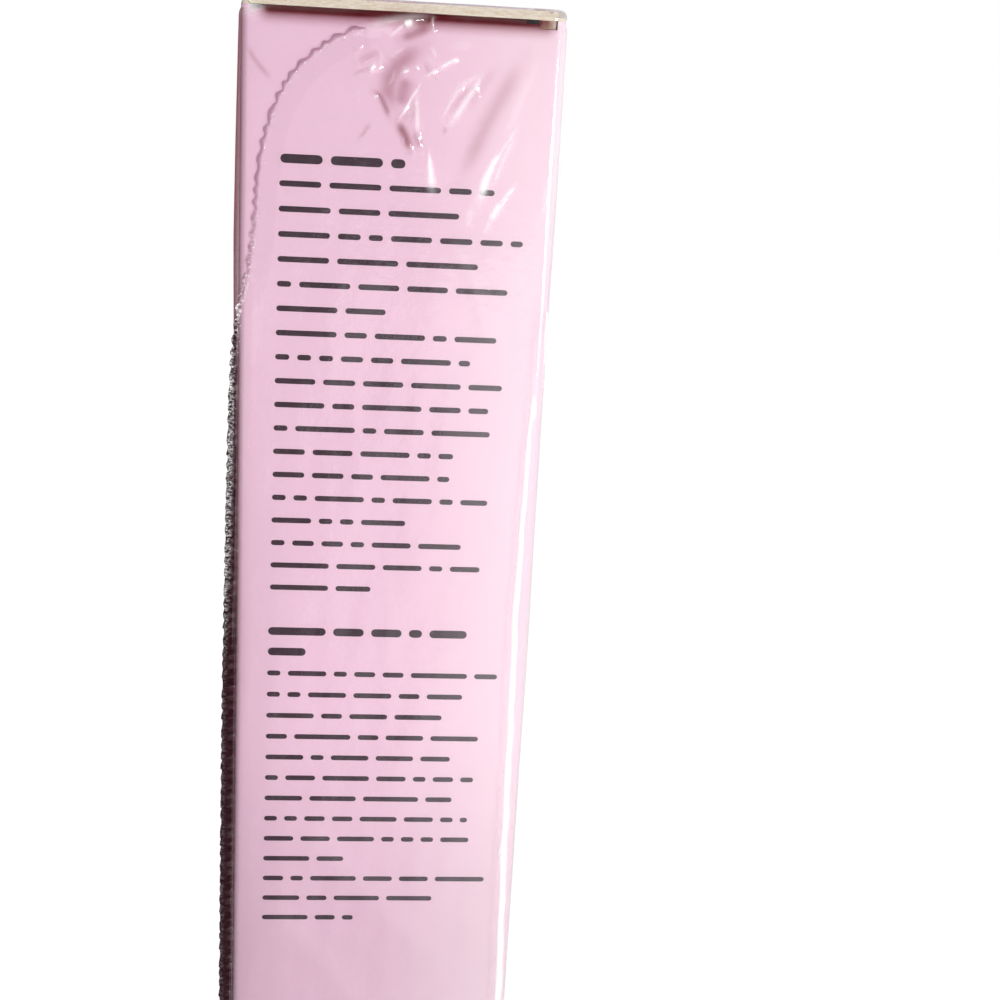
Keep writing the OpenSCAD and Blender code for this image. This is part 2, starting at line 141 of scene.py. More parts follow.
# Room: white where it is seen, with windows at the front right and daylight from behind. In the
# object's gloss its left side and its front are dim
room = bpy.data.worlds.new("white room")
bpy.context.scene.world = room
room.use_nodes = True
tree = room.node_tree
tree.nodes.clear()
path = add(tree, "ShaderNodeLightPath")
seen = add(tree, "ShaderNodeMath", {0: path.outputs["Is Camera Ray"], 1: path.outputs["Is Transmission Ray"]},
           operation="MAXIMUM")
way = add(tree, "ShaderNodeTexCoord")
front_right = add(tree, "ShaderNodeVectorMath", {0: way.outputs["Generated"], 1: (0.45, -0.80, -0.35)},
                  operation="DOT_PRODUCT")
windows = add(tree, "ShaderNodeMapRange",
              {"Value": front_right.outputs["Value"], "From Min": -0.35, "From Max": 0.85, "To Min": 0.07,
               "To Max": 0.94})
from_back = add(tree, "ShaderNodeVectorMath", {0: way.outputs["Generated"], 1: (0.1, 1.0, 0.2)},
                operation="DOT_PRODUCT")
behind = add(tree, "ShaderNodeMapRange",
             {"Value": from_back.outputs["Value"], "From Min": 0.15, "From Max": 0.9, "To Min": 0.0, "To Max": 0.9})
daylight = add(tree, "ShaderNodeMath", {0: windows.outputs[0], 1: behind.outputs[0]}, operation="MAXIMUM")
from_right = add(tree, "ShaderNodeVectorMath", {0: way.outputs["Generated"], 1: (1.0, 0.0, 0.3)},
                 operation="DOT_PRODUCT")
mirrored = add(tree, "ShaderNodeMapRange", {"Value": from_right.outputs["Value"], "From Min": -0.06, "From Max": 0.1},
               interpolation_type="SMOOTHSTEP")
from_front = add(tree, "ShaderNodeVectorMath", {0: way.outputs["Generated"], 1: (0.0, -1.0, 0.0)},
                 operation="DOT_PRODUCT")
dim = add(tree, "ShaderNodeMapRange", {"Value": from_front.outputs["Value"], "From Min": 0.2, "From Max": 0.7})
beside = add(tree, "ShaderNodeMix", {"Factor": mirrored.outputs[0], "A": linear("#a23e54"), "B": linear("#f4f4f4")},
             data_type="RGBA")
mirror_image = add(tree, "ShaderNodeMix",
                   {"Factor": dim.outputs[0], "A": beside.outputs["Result"], "B": linear("#3c2830")}, data_type="RGBA")
shown = add(tree, "ShaderNodeMix",
            {"Factor": path.outputs["Is Glossy Ray"], "A": linear("#ffffff"), "B": mirror_image.outputs["Result"]},
            data_type="RGBA")
lit = add(tree, "ShaderNodeMix", {"Factor": path.outputs["Is Glossy Ray"], "A": daylight.outputs[0], "B": 1.0},
          data_type="FLOAT")
strength = add(tree, "ShaderNodeMix", {"Factor": seen.outputs[0], "A": lit.outputs["Result"], "B": 1.0},
               data_type="FLOAT")
sky = add(tree, "ShaderNodeBackground", {"Color": shown.outputs["Result"], "Strength": strength.outputs["Result"]})
add(tree, "ShaderNodeOutputWorld", {"Surface": sky.outputs[0]})

lamp_data = bpy.data.lights.new("soft lamp low on the right", "AREA")
lamp_data.shape = "RECTANGLE"
lamp_data.size = lamp_data.size_y = 45 * MM
lamp_data.energy = 0.245
lamp = bpy.data.objects.new("soft lamp low on the right", lamp_data)
lamp_place, lamp_aim = Vector((95, -200, 112)), Vector((0, -11, 104))
towards = (lamp_aim - lamp_place).normalized()
lamp.matrix_world = Matrix.Translation(lamp_place * MM) @ towards.to_track_quat("-Z", "Y").to_matrix().to_4x4()
bpy.context.scene.collection.objects.link(lamp)


# Carton: one folded and glued blank of 0.6 mm folding boxboard, offset printed pink on its
# coated side. The inside and every cut edge are raw cream fibre.
half = 11.0
inner_half = 9.8
carton_low, carton_high = 0.12, 150.12
cut_rim = 0.64


def in_millimetres(tree, stretch=(1000, 1000, 1000)):
    """The surface's own coordinates in mm, so that a pattern's scale is one over its real size.
    stretch draws the pattern out along an axis with a smaller number."""
    own = add(tree, "ShaderNodeTexCoord")
    return add(tree, "ShaderNodeVectorMath", {0: own.outputs["Object"], 1: stretch}, operation="MULTIPLY")


def relief(tree, pattern, depth):
    """A fine relief from a pattern, depth in metres."""
    scaled = add(tree, "ShaderNodeMath", {0: pattern, 1: depth}, operation="MULTIPLY")
    return add(tree, "ShaderNodeBump", {"Height": scaled.outputs[0], "Distance": 1.0, "Strength": 1.0})


def coated_board(name, outward=None):
    """Satin coated board. outward is the printed side of a flap, or None for the four walls.
    The print is an even pink with a faint mottle, worn pale on the folds, under painted shade and painted light; raw
    fibre is cream."""
    material, tree = new_material(name)
    place = add(tree, "ShaderNodeTexCoord")
    in_mm = in_millimetres(tree)
    if outward is None:
        level = add(tree, "ShaderNodeVectorMath", {0: place.outputs["Normal"], 1: (1, 1, 0)}, operation="MULTIPLY")
        size = add(tree, "ShaderNodeVectorMath", {0: level.outputs[0]}, operation="LENGTH")
        unit = add(tree, "ShaderNodeVectorMath", {0: level.outputs[0]}, operation="NORMALIZE")
        reach = add(tree, "ShaderNodeVectorMath", {0: unit.outputs[0], 1: in_mm.outputs[0]}, operation="DOT_PRODUCT")
        outer = add(tree, "ShaderNodeMath", {0: reach.outputs["Value"], 1: inner_half}, operation="GREATER_THAN")
        side_on = add(tree, "ShaderNodeMath", {0: size.outputs["Value"], 1: 0.12}, operation="GREATER_THAN")
        # The side walls end in cut edges where they stand past the front and back folds
        aspect = add(tree, "ShaderNodeSeparateXYZ", {0: place.outputs["Normal"]})
        sideways = add(tree, "ShaderNodeMath", {0: aspect.outputs[1]}, operation="ABSOLUTE")
        across = add(tree, "ShaderNodeMath", {0: sideways.outputs[0], 1: 0.5}, operation="GREATER_THAN")
        spot = add(tree, "ShaderNodeSeparateXYZ", {0: in_mm.outputs[0]})
        middle = (carton_low + carton_high) / 2
        from_middle = add(tree, "ShaderNodeMath", {0: spot.outputs[2], 1: middle}, operation="SUBTRACT")
        far = add(tree, "ShaderNodeMath", {0: from_middle.outputs[0]}, operation="ABSOLUTE")
        past = add(tree, "ShaderNodeMath", {0: far.outputs[0], 1: carton_high - middle - cut_rim},
                   operation="GREATER_THAN")
        cut = add(tree, "ShaderNodeMath", {0: across.outputs[0], 1: past.outputs[0]}, operation="MULTIPLY")
        coated = add(tree, "ShaderNodeMath", {0: outer.outputs[0], 1: side_on.outputs[0]}, operation="MULTIPLY")
        printed = add(tree, "ShaderNodeMath", {0: coated.outputs[0], 1: cut.outputs[0]}, operation="SUBTRACT",
                      use_clamp=True)
    else:
        facing = add(tree, "ShaderNodeVectorMath", {0: place.outputs["Normal"], 1: outward}, operation="DOT_PRODUCT")
        printed = add(tree, "ShaderNodeMath", {0: facing.outputs["Value"], 1: 0.5}, operation="GREATER_THAN")
    # Ink: slow drift over about 20 mm and a fine mottle of about 0.15 mm. Over it lie painted shade, darker towards the
    # foot and on the lower left, and painted light, paler towards the right
    drift = add(tree, "ShaderNodeTexNoise", {"Vector": in_mm.outputs[0], "Scale": 0.05, "Detail": 2.0})
    pink = add(tree, "ShaderNodeMix", {"Factor": drift.outputs["Fac"], "A": linear("#eec6db"), "B": linear("#f4cfe2")},
               data_type="RGBA")
    pale = add(tree, "ShaderNodeMix", {"Factor": drift.outputs["Fac"], "A": linear("#f6d7e4"), "B": linear("#f9deea")},
               data_type="RGBA")
    parts = add(tree, "ShaderNodeSeparateXYZ", {0: in_mm.outputs[0]})
    # Painted light: the print turns paler towards the right
    painted_light_right = add(tree, "ShaderNodeMapRange", {"Value": parts.outputs[0], "From Min": 0.0, "From Max": 9.0})
    ink = add(tree, "ShaderNodeMix",
              {"Factor": painted_light_right.outputs[0], "A": pink.outputs["Result"], "B": pale.outputs["Result"]}, data_type="RGBA")
    mottle = add(tree, "ShaderNodeTexNoise",
                 {"Vector": in_mm.outputs[0], "Scale": 6.0, "Detail": 3.0, "Roughness": 0.7})
    speck = add(tree, "ShaderNodeMapRange",
                {"Value": mottle.outputs["Fac"], "From Min": 0.3, "From Max": 0.7, "To Min": 0.97, "To Max": 1.02})
    # Painted shade: the print darkens towards the foot, and near the left edge below about 128 mm
    painted_shade_foot = add(tree, "ShaderNodeMapRange",
                 {"Value": parts.outputs[2], "From Min": 77.0, "From Max": 97.0, "To Min": 0.84, "To Max": 1.0})
    left = add(tree, "ShaderNodeMapRange",
               {"Value": parts.outputs[0], "From Min": -11.0, "From Max": -6.5, "To Min": 0.85, "To Max": 1.0})
    upper = add(tree, "ShaderNodeMapRange", {"Value": parts.outputs[2], "From Min": 104.0, "From Max": 128.0})
    thick = add(tree, "ShaderNodeMix", {"Factor": upper.outputs[0], "A": left.outputs[0], "B": 1.0}, data_type="FLOAT")
    painted_shade_on_print = add(tree, "ShaderNodeMath", {0: thick.outputs["Result"], 1: painted_shade_foot.outputs[0]}, operation="MULTIPLY")
    mottle_and_painted_shade = add(tree, "ShaderNodeMath", {0: speck.outputs[0], 1: painted_shade_on_print.outputs[0]}, operation="MULTIPLY")
    inked = add(tree, "ShaderNodeVectorMath", {0: ink.outputs["Result"], "Scale": mottle_and_painted_shade.outputs[0]}, operation="SCALE")
    # Fibre: streaks about 0.1 mm thick that lie along the sheet
    stretched = add(tree, "ShaderNodeVectorMath", {0: in_mm.outputs[0], 1: (1.4, 1.4, 7.0)}, operation="MULTIPLY")
    fibre = add(tree, "ShaderNodeTexNoise",
                {"Vector": stretched.outputs[0], "Scale": 1.3, "Detail": 4.0, "Roughness": 0.65})
    raw = add(tree, "ShaderNodeValToRGB", {"Fac": fibre.outputs["Fac"]})
    raw.color_ramp.elements[0].position = 0.3
    raw.color_ramp.elements[0].color = linear("#dccdb2")
    raw.color_ramp.elements[1].position = 0.6
    raw.color_ramp.elements[1].color = linear("#f0e8d6")
    # Wear: the coating cracks pale along the upright folds
    side = add(tree, "ShaderNodeMath", {0: parts.outputs[0]}, operation="ABSOLUTE")
    depth = add(tree, "ShaderNodeMath", {0: parts.outputs[1]}, operation="ABSOLUTE")
    fold = add(tree, "ShaderNodeMath", {0: side.outputs[0], 1: depth.outputs[0]}, operation="MINIMUM")
    near = add(tree, "ShaderNodeMapRange",
               {"Value": fold.outputs[0], "From Min": 10.55, "From Max": 10.95, "To Min": 0.0, "To Max": 0.35})
    chipped = add(tree, "ShaderNodeMath", {0: near.outputs[0], 1: mottle.outputs["Fac"]}, operation="MULTIPLY")
    worn = add(tree, "ShaderNodeMix", {"Factor": chipped.outputs[0], "A": inked.outputs[0], "B": linear("#f6dfe8")},
               data_type="RGBA")
    colour = add(tree, "ShaderNodeMix",
                 {"Factor": printed.outputs[0], "A": raw.outputs["Color"], "B": worn.outputs["Result"]},
                 data_type="RGBA")
    rough = add(tree, "ShaderNodeMapRange", {"Value": printed.outputs[0], "To Min": 0.88, "To Max": 0.42})
    height = add(tree, "ShaderNodeMix",
                 {"Factor": printed.outputs[0], "A": fibre.outputs["Fac"], "B": mottle.outputs["Fac"]},
                 data_type="FLOAT")
    deep = add(tree, "ShaderNodeMapRange", {"Value": printed.outputs[0], "To Min": 0.00008, "To Max": 0.000006})
    bump = relief(tree, height.outputs["Result"], deep.outputs[0])
    surface = add(tree, "ShaderNodeBsdfPrincipled",
                  {"Base Color": colour.outputs["Result"], "Roughness": rough.outputs[0], "Normal": bump.outputs[0]})
    finish_with(tree, surface)
    return material


def dress(names, material):
    """Gives CAD nodes their finish, through each object's own material slot."""
    for name in names:
        for slot in cad[name].material_slots:
            slot.link = "OBJECT"
            slot.material = material


tuck_board = coated_board("coated boxboard, top tuck", (1, 0, 0))
dress(["carton_sleeve"], coated_board("coated boxboard, walls"))
dress(["glue_flap"], coated_board("boxboard, glued inner face", (-1, 0, 0)))
dress(["lid_panel", "front_dust_flap", "back_dust_flap"], coated_board("coated boxboard, folded top", (0, 0, 1)))
dress(["bottom_panel", "bottom_dust_flaps"], coated_board("coated boxboard, folded bottom", (0, 0, -1)))
dress(["tuck_flap"], tuck_board)
dress(["bottom_tuck_flap"], coated_board("coated boxboard, bottom tuck", (-1, 0, 0)))

# Shoulders of the tuck flap: die-cut steps at its fold, as wide as the lid, which sit in the
# notches of the front and back walls. They show the lid's raw edge turning down.
outline = [(10.17, 150.115), (10.31, 150.09), (10.40, 150.02), (10.49, 149.92), (10.54, 149.80), (10.37, 149.75),
           (10.34, 149.47), (10.33, 149.20), (10.30, 148.95), (9.19, 148.94), (9.18, 149.30), (9.18, 149.56),
           (9.30, 149.57)]
points, faces = [], []
for side in (-1, 1):
    first = len(points)
    near, far = 9.9 * side, 10.75 * side
    points += [(x, far, z) for x, z in outline] + [(x, near, z) for x, z in outline]
    n = len(outline)
    walk = list(range(n))[::-1] if side < 0 else list(range(n))
    faces.append([first + i for i in walk])
    faces.append([first + n + i for i in walk[::-1]])
    faces += [(first + a, first + n + a, first + n + b, first + b) for a, b in zip(walk, walk[1:] + walk[:1])]
shoulders = mesh_piece("tuck_shoulders", points, faces, tuck_board, smooth=False)
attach(shoulders, "tuck")

# Ruled bars on the front panel: printed offset in one pass of plum ink, line under line in two
# blocks, ragged on the right. Each block opens with heavier bars.
bar_rng = random.Random(11)
line_pitch = 1.744
bar_gap = 0.55
bar_lengths = (1.0, 1.6, 2.3, 2.9, 3.6, 4.3)
plain, bold = 0.4, 0.62
ink_up, ink_down = 0.012, 0.05
shortest_bar, shortest_rest = 0.4, 1.1
bars = []


def rule_line(z, thick, left, right):
    """One line of bars from left to right; the last bar takes up what is left over."""
    x = left
    while right - x > shortest_bar:
        length = bar_rng.choice(bar_lengths)
        if right - x - length < shortest_rest:
            length = right - x
        bars.append((x, x + length, z, thick))
        x += length + bar_gap


rule_line(139.45, bold, -8.2, 0.4)
first_ends = (6.7, 4.3, 8.9, 5.8, 8.0, -0.6, 7.4, 5.6, 8.0, 7.1, 7.3, 4.7, 4.5, 7.4, 1.4, 5.6, 7.1, -1.0)
for k, right in enumerate(first_ends):
    rule_line(137.75 - line_pitch * k, plain, -8.25 - 0.012 * k, right)
rule_line(104.6, bold, -8.54, 6.4)
rule_line(102.95, bold, -8.54, -5.7)
second_ends = (8.9, 6.3, 4.8, 7.7, 5.6, 7.5, 5.9, 7.2, 7.4, -2.4, 8.8, 4.7, -1.5)
for k, right in enumerate(second_ends):
    rule_line(101.2 - line_pitch * k, plain, -8.56 - 0.01 * k, right)

points, faces = [], []
for x0, x1, z, thick in bars:
    first = len(points)
    r = thick / 2
    outline = [(x1 - r + r * math.cos(a), z + r * math.sin(a)) for a in np.linspace(-math.pi / 2, math.pi / 2, 7)]
    outline += [(x0 + r + r * math.cos(a), z + r * math.sin(a)) for a in np.linspace(math.pi / 2, 3 * math.pi / 2, 7)]
    n = len(outline)
    points += [(x, -half - ink_up, h) for x, h in outline] + [(x, -half + ink_down, h) for x, h in outline]
    faces.append(list(range(first, first + n)))
    faces.append(list(range(first + 2 * n - 1, first + n - 1, -1)))
    faces += [(first + i, first + n + i, first + n + (i + 1) % n, first + (i + 1) % n) for i in range(n)]
# Ink: dark plum and satin, with a mottle of about 0.1 mm where it lies thinner
ink_material, tree = new_material("offset ink, plum")
place = add(tree, "ShaderNodeTexCoord")
cover = add(tree, "ShaderNodeTexNoise", {"Vector": place.outputs["Object"], "Scale": 9000.0, "Detail": 2.0})
tone = add(tree, "ShaderNodeMix", {"Factor": cover.outputs["Fac"], "A": linear("#2c1823"), "B": linear("#432c3a")},
           data_type="RGBA")
surface = add(tree, "ShaderNodeBsdfPrincipled", {"Base Color": tone.outputs["Result"], "Roughness": 0.45})
finish_with(tree, surface)
rules = mesh_piece("printed_rules", points, faces, ink_material, smooth=False)
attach(rules, "carton")

# Film sleeve: clear polyolefin about 0.03 mm thick, shrunk on with hot air. It lies flat on the
# walls and gathers at the top of the front panel into folds, blisters and sharp creases.
film_out = 11.09
film_r = 0.62
film_low, film_high = carton_low, 149.5
front_end = -10.2
most_lift, softness = 0.62, 0.0016


def along(line, x, z):
    """Distance of each x, z from a line through points, and the share of the line passed there."""
    line = np.array(line, float)
    lengths = np.hypot(*(line[1:] - line[:-1]).T)
    nearest = np.full(x.shape, 1e9)
    share = np.zeros(x.shape)
    run = 0.0
    for a, b, length in zip(line[:-1], line[1:], lengths):
        d = (b - a) / length
        t = np.clip((x - a[0]) * d[0] + (z - a[1]) * d[1], 0, length)
        gap = np.hypot(x - a[0] - t * d[0], z - a[1] - t * d[1])
        closer = gap < nearest
        nearest = np.where(closer, gap, nearest)
        share = np.where(closer, (run + t) / lengths.sum(), share)
        run += length
    return nearest, share


# Each fold: its line in x and z, half width (one, or one at each end), height, 1 for a round and 2 for a sharp crest,
# how milky its crest is, which also paints a highlight there, and how dark the painted shade in it is
folds = [
    ([(-3.3, 148.2), (-1.32, 148.85), (-0.49, 149.05), (0.35, 149.2), (1.19, 149.3), (1.88, 149.3)], 0.38, 0.24, 1,
     0.30, 0.0),
    ([(1.9, 149.42), (1.84, 149.09), (1.88, 148.68), (2.04, 148.23)], 0.13, 0.14, 2, 0.40, 0.0),
    ([(0.55, 148.93), (0.25, 148.84), (-0.1, 148.68)], 0.42, 0.07, 1, 1.0, 0.0),
    ([(0.1, 148.75), (-0.3, 148.51), (-1.07, 147.86)], (0.3, 0.14), 0.03, 1, 0.4, 0.0),
    ([(1.86, 148.66), (1.13, 148.33), (0.4, 148.04), (-0.33, 147.74)], 0.30, -0.08, 1, 0.0, 0.33),
    ([(1.84, 149.05), (1.11, 148.84), (0.71, 148.6)], 0.18, -0.05, 1, 0.0, 0.23),
    ([(-2.9, 148.2), (-1.6, 148.4), (-0.6, 148.3)], 0.45, 0.10, 1, 0.16, 0.0),
    ([(-2.37, 147.27), (-1.6, 147.0), (-1.45, 146.46), (-1.69, 145.83), (-2.32, 145.53)], 0.24, 0.04, 1, 0.14, 0.0),
    ([(-2.37, 147.27), (-3.0, 146.99), (-3.24, 146.36), (-2.96, 145.76), (-2.32, 145.53)], 0.24, 0.03, 1, 0.10, 0.0),
    ([(-2.5, 146.75), (-2.2, 146.2)], 0.72, 0.05, 1, 0.0, 0.13),
    ([(-2.24, 145.87), (-1.94, 145.75)], 0.42, 0.10, 1, 1.0, 0.0),
    ([(1.45, 147.45), (0.45, 146.76), (-0.37, 146.0), (-0.87, 145.15), (-0.95, 144.31), (-0.59, 143.5), (-0.25, 142.9)],
     0.52, -0.14, 1, 0.0, 0.29),
    ([(0.31, 145.4), (0.02, 144.16), (-0.16, 143.2)], 0.50, -0.08, 1, 0.0, 0.28),
    ([(0.12, 145.78), (0.22, 145.58)], 0.36, 0.08, 1, 1.0, 0.0),
    ([(0.8, 145.93), (1.02, 146.03)], 0.17, 0.08, 1, 0.55, 0.0),
    ([(-1.92, 143.97), (-1.76, 143.89)], 0.17, 0.10, 1, 0.8, 0.0),
    ([(1.5, 145.4), (1.99, 145.71), (2.41, 145.94)], 0.20, 0.07, 2, 0.55, 0.0),
    ([(2.3, 145.88), (3.13, 146.44), (3.55, 146.62), (3.85, 146.5)], 0.19, 0.08, 2, 0.85, 0.0),
    ([(1.81, 147.45), (2.1, 146.95), (2.16, 146.6)], 0.16, 0.04, 2, 0.3, 0.0),
    ([(5.57, 146.01), (5.13, 145.15), (4.53, 144.18), (3.93, 143.21), (3.2, 142.1)], (0.24, 0.42), 0.025, 1, 0.62, 0.0),
    ([(5.4, 145.9), (4.9, 145.5), (4.27, 145.11), (3.66, 144.45), (3.17, 143.48), (2.7, 142.4)], 0.24, 0.018, 1, 0.34,
     0.0),
    ([(4.81, 145.03), (3.9, 143.84), (3.3, 142.86)], 0.25, -0.015, 1, 0.0, 0.11),
    ([(-2.06, 144.31), (-1.74, 144.17), (-1.41, 143.87), (-1.01, 143.06), (-0.77, 142.45)], 0.17, 0.07, 2, 0.0, 0.40),
    ([(-0.25, 142.35), (0.29, 141.45), (0.64, 140.67), (0.7, 140.3)], 0.24, 0.06, 1, 0.0, 0.53),
    ([(1.3, 145.05), (0.67, 143.98), (-0.26, 142.25)], 0.15, 0.05, 2, 0.7, 0.0),
    ([(0.89, 143.99), (0.61, 142.93), (0.42, 142.1)], 0.38, -0.06, 1, 0.25, 0.17),
    ([(0.96, 144.4), (1.03, 143.16), (1.15, 141.4)], 0.26, 0.03, 1, 0.6, 0.0),
    ([(8.3, 147.2), (7.29, 145.16), (6.51, 143.66), (5.82, 142.25), (5.25, 140.84), (4.18, 138.4)], 0.5, -0.03, 1, 0.0,
     0.17),
    ([(9.14, 146.71), (8.38, 145.01), (7.72, 143.3), (7.0, 141.3)], 0.44, 0.03, 1, 0.14, 0.0),
    ([(6.46, 146.36), (5.36, 144.85), (4.37, 143.13)], 0.35, 0.0, 1, 0.0, 0.08),
    ([(3.0, 147.4), (4.7, 147.8)], 0.5, 0.04, 1, 0.10, 0.0),
    ([(1.95, 140.5), (2.12, 139.27), (2.33, 137.7)], (0.12, 0.56), 0.03, 1, 1.0, 0.0),
    ([(8.15, 142.64), (7.39, 141.36), (6.3, 139.5)], (0.18, 0.28), 0.022, 1, 0.36, 0.0),
    ([(7.2, 141.0), (6.48, 139.87), (5.96, 138.58), (5.62, 137.0)], (0.2, 0.56), 0.025, 1, 0.95, 0.0),
    ([(7.86, 141.77), (7.25, 140.29), (6.73, 138.91), (6.5, 138.0)], 0.26, 0.018, 1, 0.38, 0.0),
    ([(8.2, 138.5), (7.41, 137.57), (6.86, 136.66)], (0.16, 0.28), 0.04, 1, 0.6, 0.0),
    ([(7.2, 137.25), (6.86, 136.66), (6.45, 135.8)], 0.38, 0.03, 1, 0.9, 0.0),
    ([(6.5, 135.96), (6.1, 134.9)], 0.26, 0.02, 1, 0.28, 0.0),
    ([(5.06, 136.8), (5.02, 135.99), (4.9, 135.3)], 0.34, 0.02, 1, 0.26, 0.0),
    ([(0.85, 141.75), (1.16, 141.14), (1.43, 140.49)], 0.2, 0.06, 1, 0.0, 0.23),
    ([(-10.6, 146.9), (-10.06, 145.99), (-9.52, 145.37), (-8.8, 144.6)], 0.15, 0.05, 1, 0.0, 0.18),
    ([(3.0, 136.4), (5.6, 132.0), (7.6, 126.0)], 1.0, 0.08, 1, 0.03, 0.0),
    ([(9.78, 86.8), (10.25, 85.4)], 0.12, 0.12, 2, 0.7, 0.0),
    ([(-8.6, 90.5), (-4.0, 86.0), (2.5, 79.0), (8.0, 74.0)], 1.3, 0.12, 1, 0.02, 0.0),
    ([(-9.6, 82.5), (-5.0, 77.5), (0.5, 70.5)], 1.2, 0.12, 1, 0.02, 0.0),
    ([(-9.9, 67.0), (-3.0, 60.0), (6.0, 49.0)], 1.5, 0.12, 1, 0.02, 0.0),
]
crease_rng = random.Random(5)
for k in range(16):
    turn = math.radians(crease_rng.uniform(-140, -35))
    reach = crease_rng.uniform(1.0, 7.0)
    start = (0.8 + 1.1 * reach * math.cos(turn), 148.2 + reach * math.sin(turn))
    length = crease_rng.uniform(0.4, 1.5)
    heading = turn + crease_rng.uniform(-0.5, 0.5)
    middle = (start[0] + length * 0.5 * math.cos(heading), start[1] + length * 0.5 * math.sin(heading))
    bend = heading + crease_rng.uniform(-0.5, 0.5)
    end = (middle[0] + length * 0.5 * math.cos(bend), middle[1] + length * 0.5 * math.sin(bend))
    folds.append(([start, middle, end], crease_rng.uniform(0.1, 0.16), crease_rng.uniform(0.02, 0.05), 2,
                  crease_rng.choice((0.0, 0.1, 0.2)), crease_rng.choice((0.0, 0.0, 0.2))))


def waves(x, z, seed, count, short, long, tallest):
    """Soft waves in every direction, for film that isn't quite flat."""
    wave_rng = random.Random(seed)
    total = np.zeros(np.broadcast(x, z).shape)
    for _ in range(count):
        wave = wave_rng.uniform(short, long)
        turn = wave_rng.uniform(0, math.pi)
        across = x * math.cos(turn) + z * math.sin(turn) * 0.6
        total += math.sqrt(wave / long) * np.sin(2 * math.pi * across / wave + wave_rng.uniform(0, 6.3))
    return tallest * total / count


def front_film(x, z):
    """Height of the film off the front panel, how milky its folds are, with painted highlights among them, and how dark
    their painted shade is.
    """
    rise = 0.06 + waves(x, z, 3, 9, 5.0, 17.0, 0.16) + waves(x, z, 8, 7, 1.6, 4.0, 0.03)
    milk_and_highlight = np.zeros(x.shape)
    painted_shade = np.zeros(x.shape)
    for line, width, tall, crest, white, painted_shade_share in folds:
        gap, share = along(line, x, z)
        width = np.interp(share, (0, 1), np.broadcast_to(width, 2))
        taper = np.clip(np.minimum(share, 1 - share) * 4, 0.2, 1)
        rise = rise + tall * taper * (np.exp(-(gap / width) ** 2) if crest == 1 else np.exp(-gap / width))
        milk_and_highlight = np.maximum(milk_and_highlight, white * taper * np.exp(-(gap / (0.6 * width)) ** 2))
        painted_shade = np.maximum(painted_shade, painted_shade_share * taper * np.exp(-(gap / (1.1 * width)) ** 2))
    return rise, milk_and_highlight, painted_shade


def grid_faces(rows, columns, closed):
    """Four-sided faces on a grid of points, closed round on itself or open."""
    index = np.arange(rows * columns).reshape(rows, columns)
    if closed:
        index = np.concatenate([index, index[:, :1]], axis=1)
    return np.stack([index[:-1, :-1], index[:-1, 1:], index[1:, 1:], index[1:, :-1]], -1).reshape(-1, 4)


core = film_out - film_r
turn = np.linspace(0, math.pi / 2, 7)[1:-1]
outline = [(x, -film_out, 0.0, -1.0) for x in np.linspace(-core, core, 300)]
outline += [(core + film_r * math.sin(a), -core - film_r * math.cos(a), math.sin(a), -math.cos(a)) for a in turn]
outline += [(film_out, y, 1.0, 0.0) for y in np.linspace(-core, core, 20)]
outline += [(core + film_r * math.cos(a), core + film_r * math.sin(a), math.cos(a), math.sin(a)) for a in turn]
outline += [(x, film_out, 0.0, 1.0) for x in np.linspace(core, -core, 20)]
outline += [(-core - film_r * math.sin(a), core + film_r * math.cos(a), -math.sin(a), math.cos(a)) for a in turn]
outline += [(-film_out, y, -1.0, 0.0) for y in np.linspace(core, -core, 20)]
outline += [(-core - film_r * math.cos(a), -core - film_r * math.sin(a), -math.cos(a), -math.sin(a)) for a in turn]
outline = np.array(outline)
creased_from, finest_from = 128, 135
levels = np.concatenate([np.linspace(film_low, creased_from, 170)[:-1],
                         np.linspace(creased_from, finest_from, 40)[:-1], np.linspace(finest_from, film_high, 200)])
X, Z = np.meshgrid(outline[:, 0], levels)
Y = np.broadcast_to(outline[:, 1], X.shape)
on_front = outline[:, 3] < -0.5
rise, milk_and_highlight, painted_shade = front_film(X, Z)
elsewhere = 0.05 + waves(Y + 3 * X, Z, 21, 9, 6.0, 20.0, 0.10)
blend = np.where(on_front, np.clip((core - np.abs(outline[:, 0])) / 0.9 + 0.15, 0, 1), 0)
slack = np.interp(Z, (0, 60, 106, 120, 134, 140, 147, 149.4), (0.02, 0.04, 0.04, 0.14, 0.22, 0.16, 0.05, 0.0))
slack = slack * np.clip(-outline[:, 2], 0, 1)
lift = rise * blend + (elsewhere + slack) * (1 - blend)
lift = np.minimum(0.5 * (lift + np.sqrt(lift ** 2 + softness)), most_lift)
lift = lift * np.clip((Z - film_low) / 1.2, 0, 1) * np.clip((film_high - Z) / 0.5, 0.25, 1)
# At its top the film follows the round of the end creases inwards
round_from, round_run, round_in = 148.7, 0.8, 0.28
tuck_in = np.clip((Z - round_from) / round_run, 0, 1)
lift = lift - round_in * tuck_in ** 2 * (1 - np.exp(-((X - 0.2) / 2.4) ** 2))
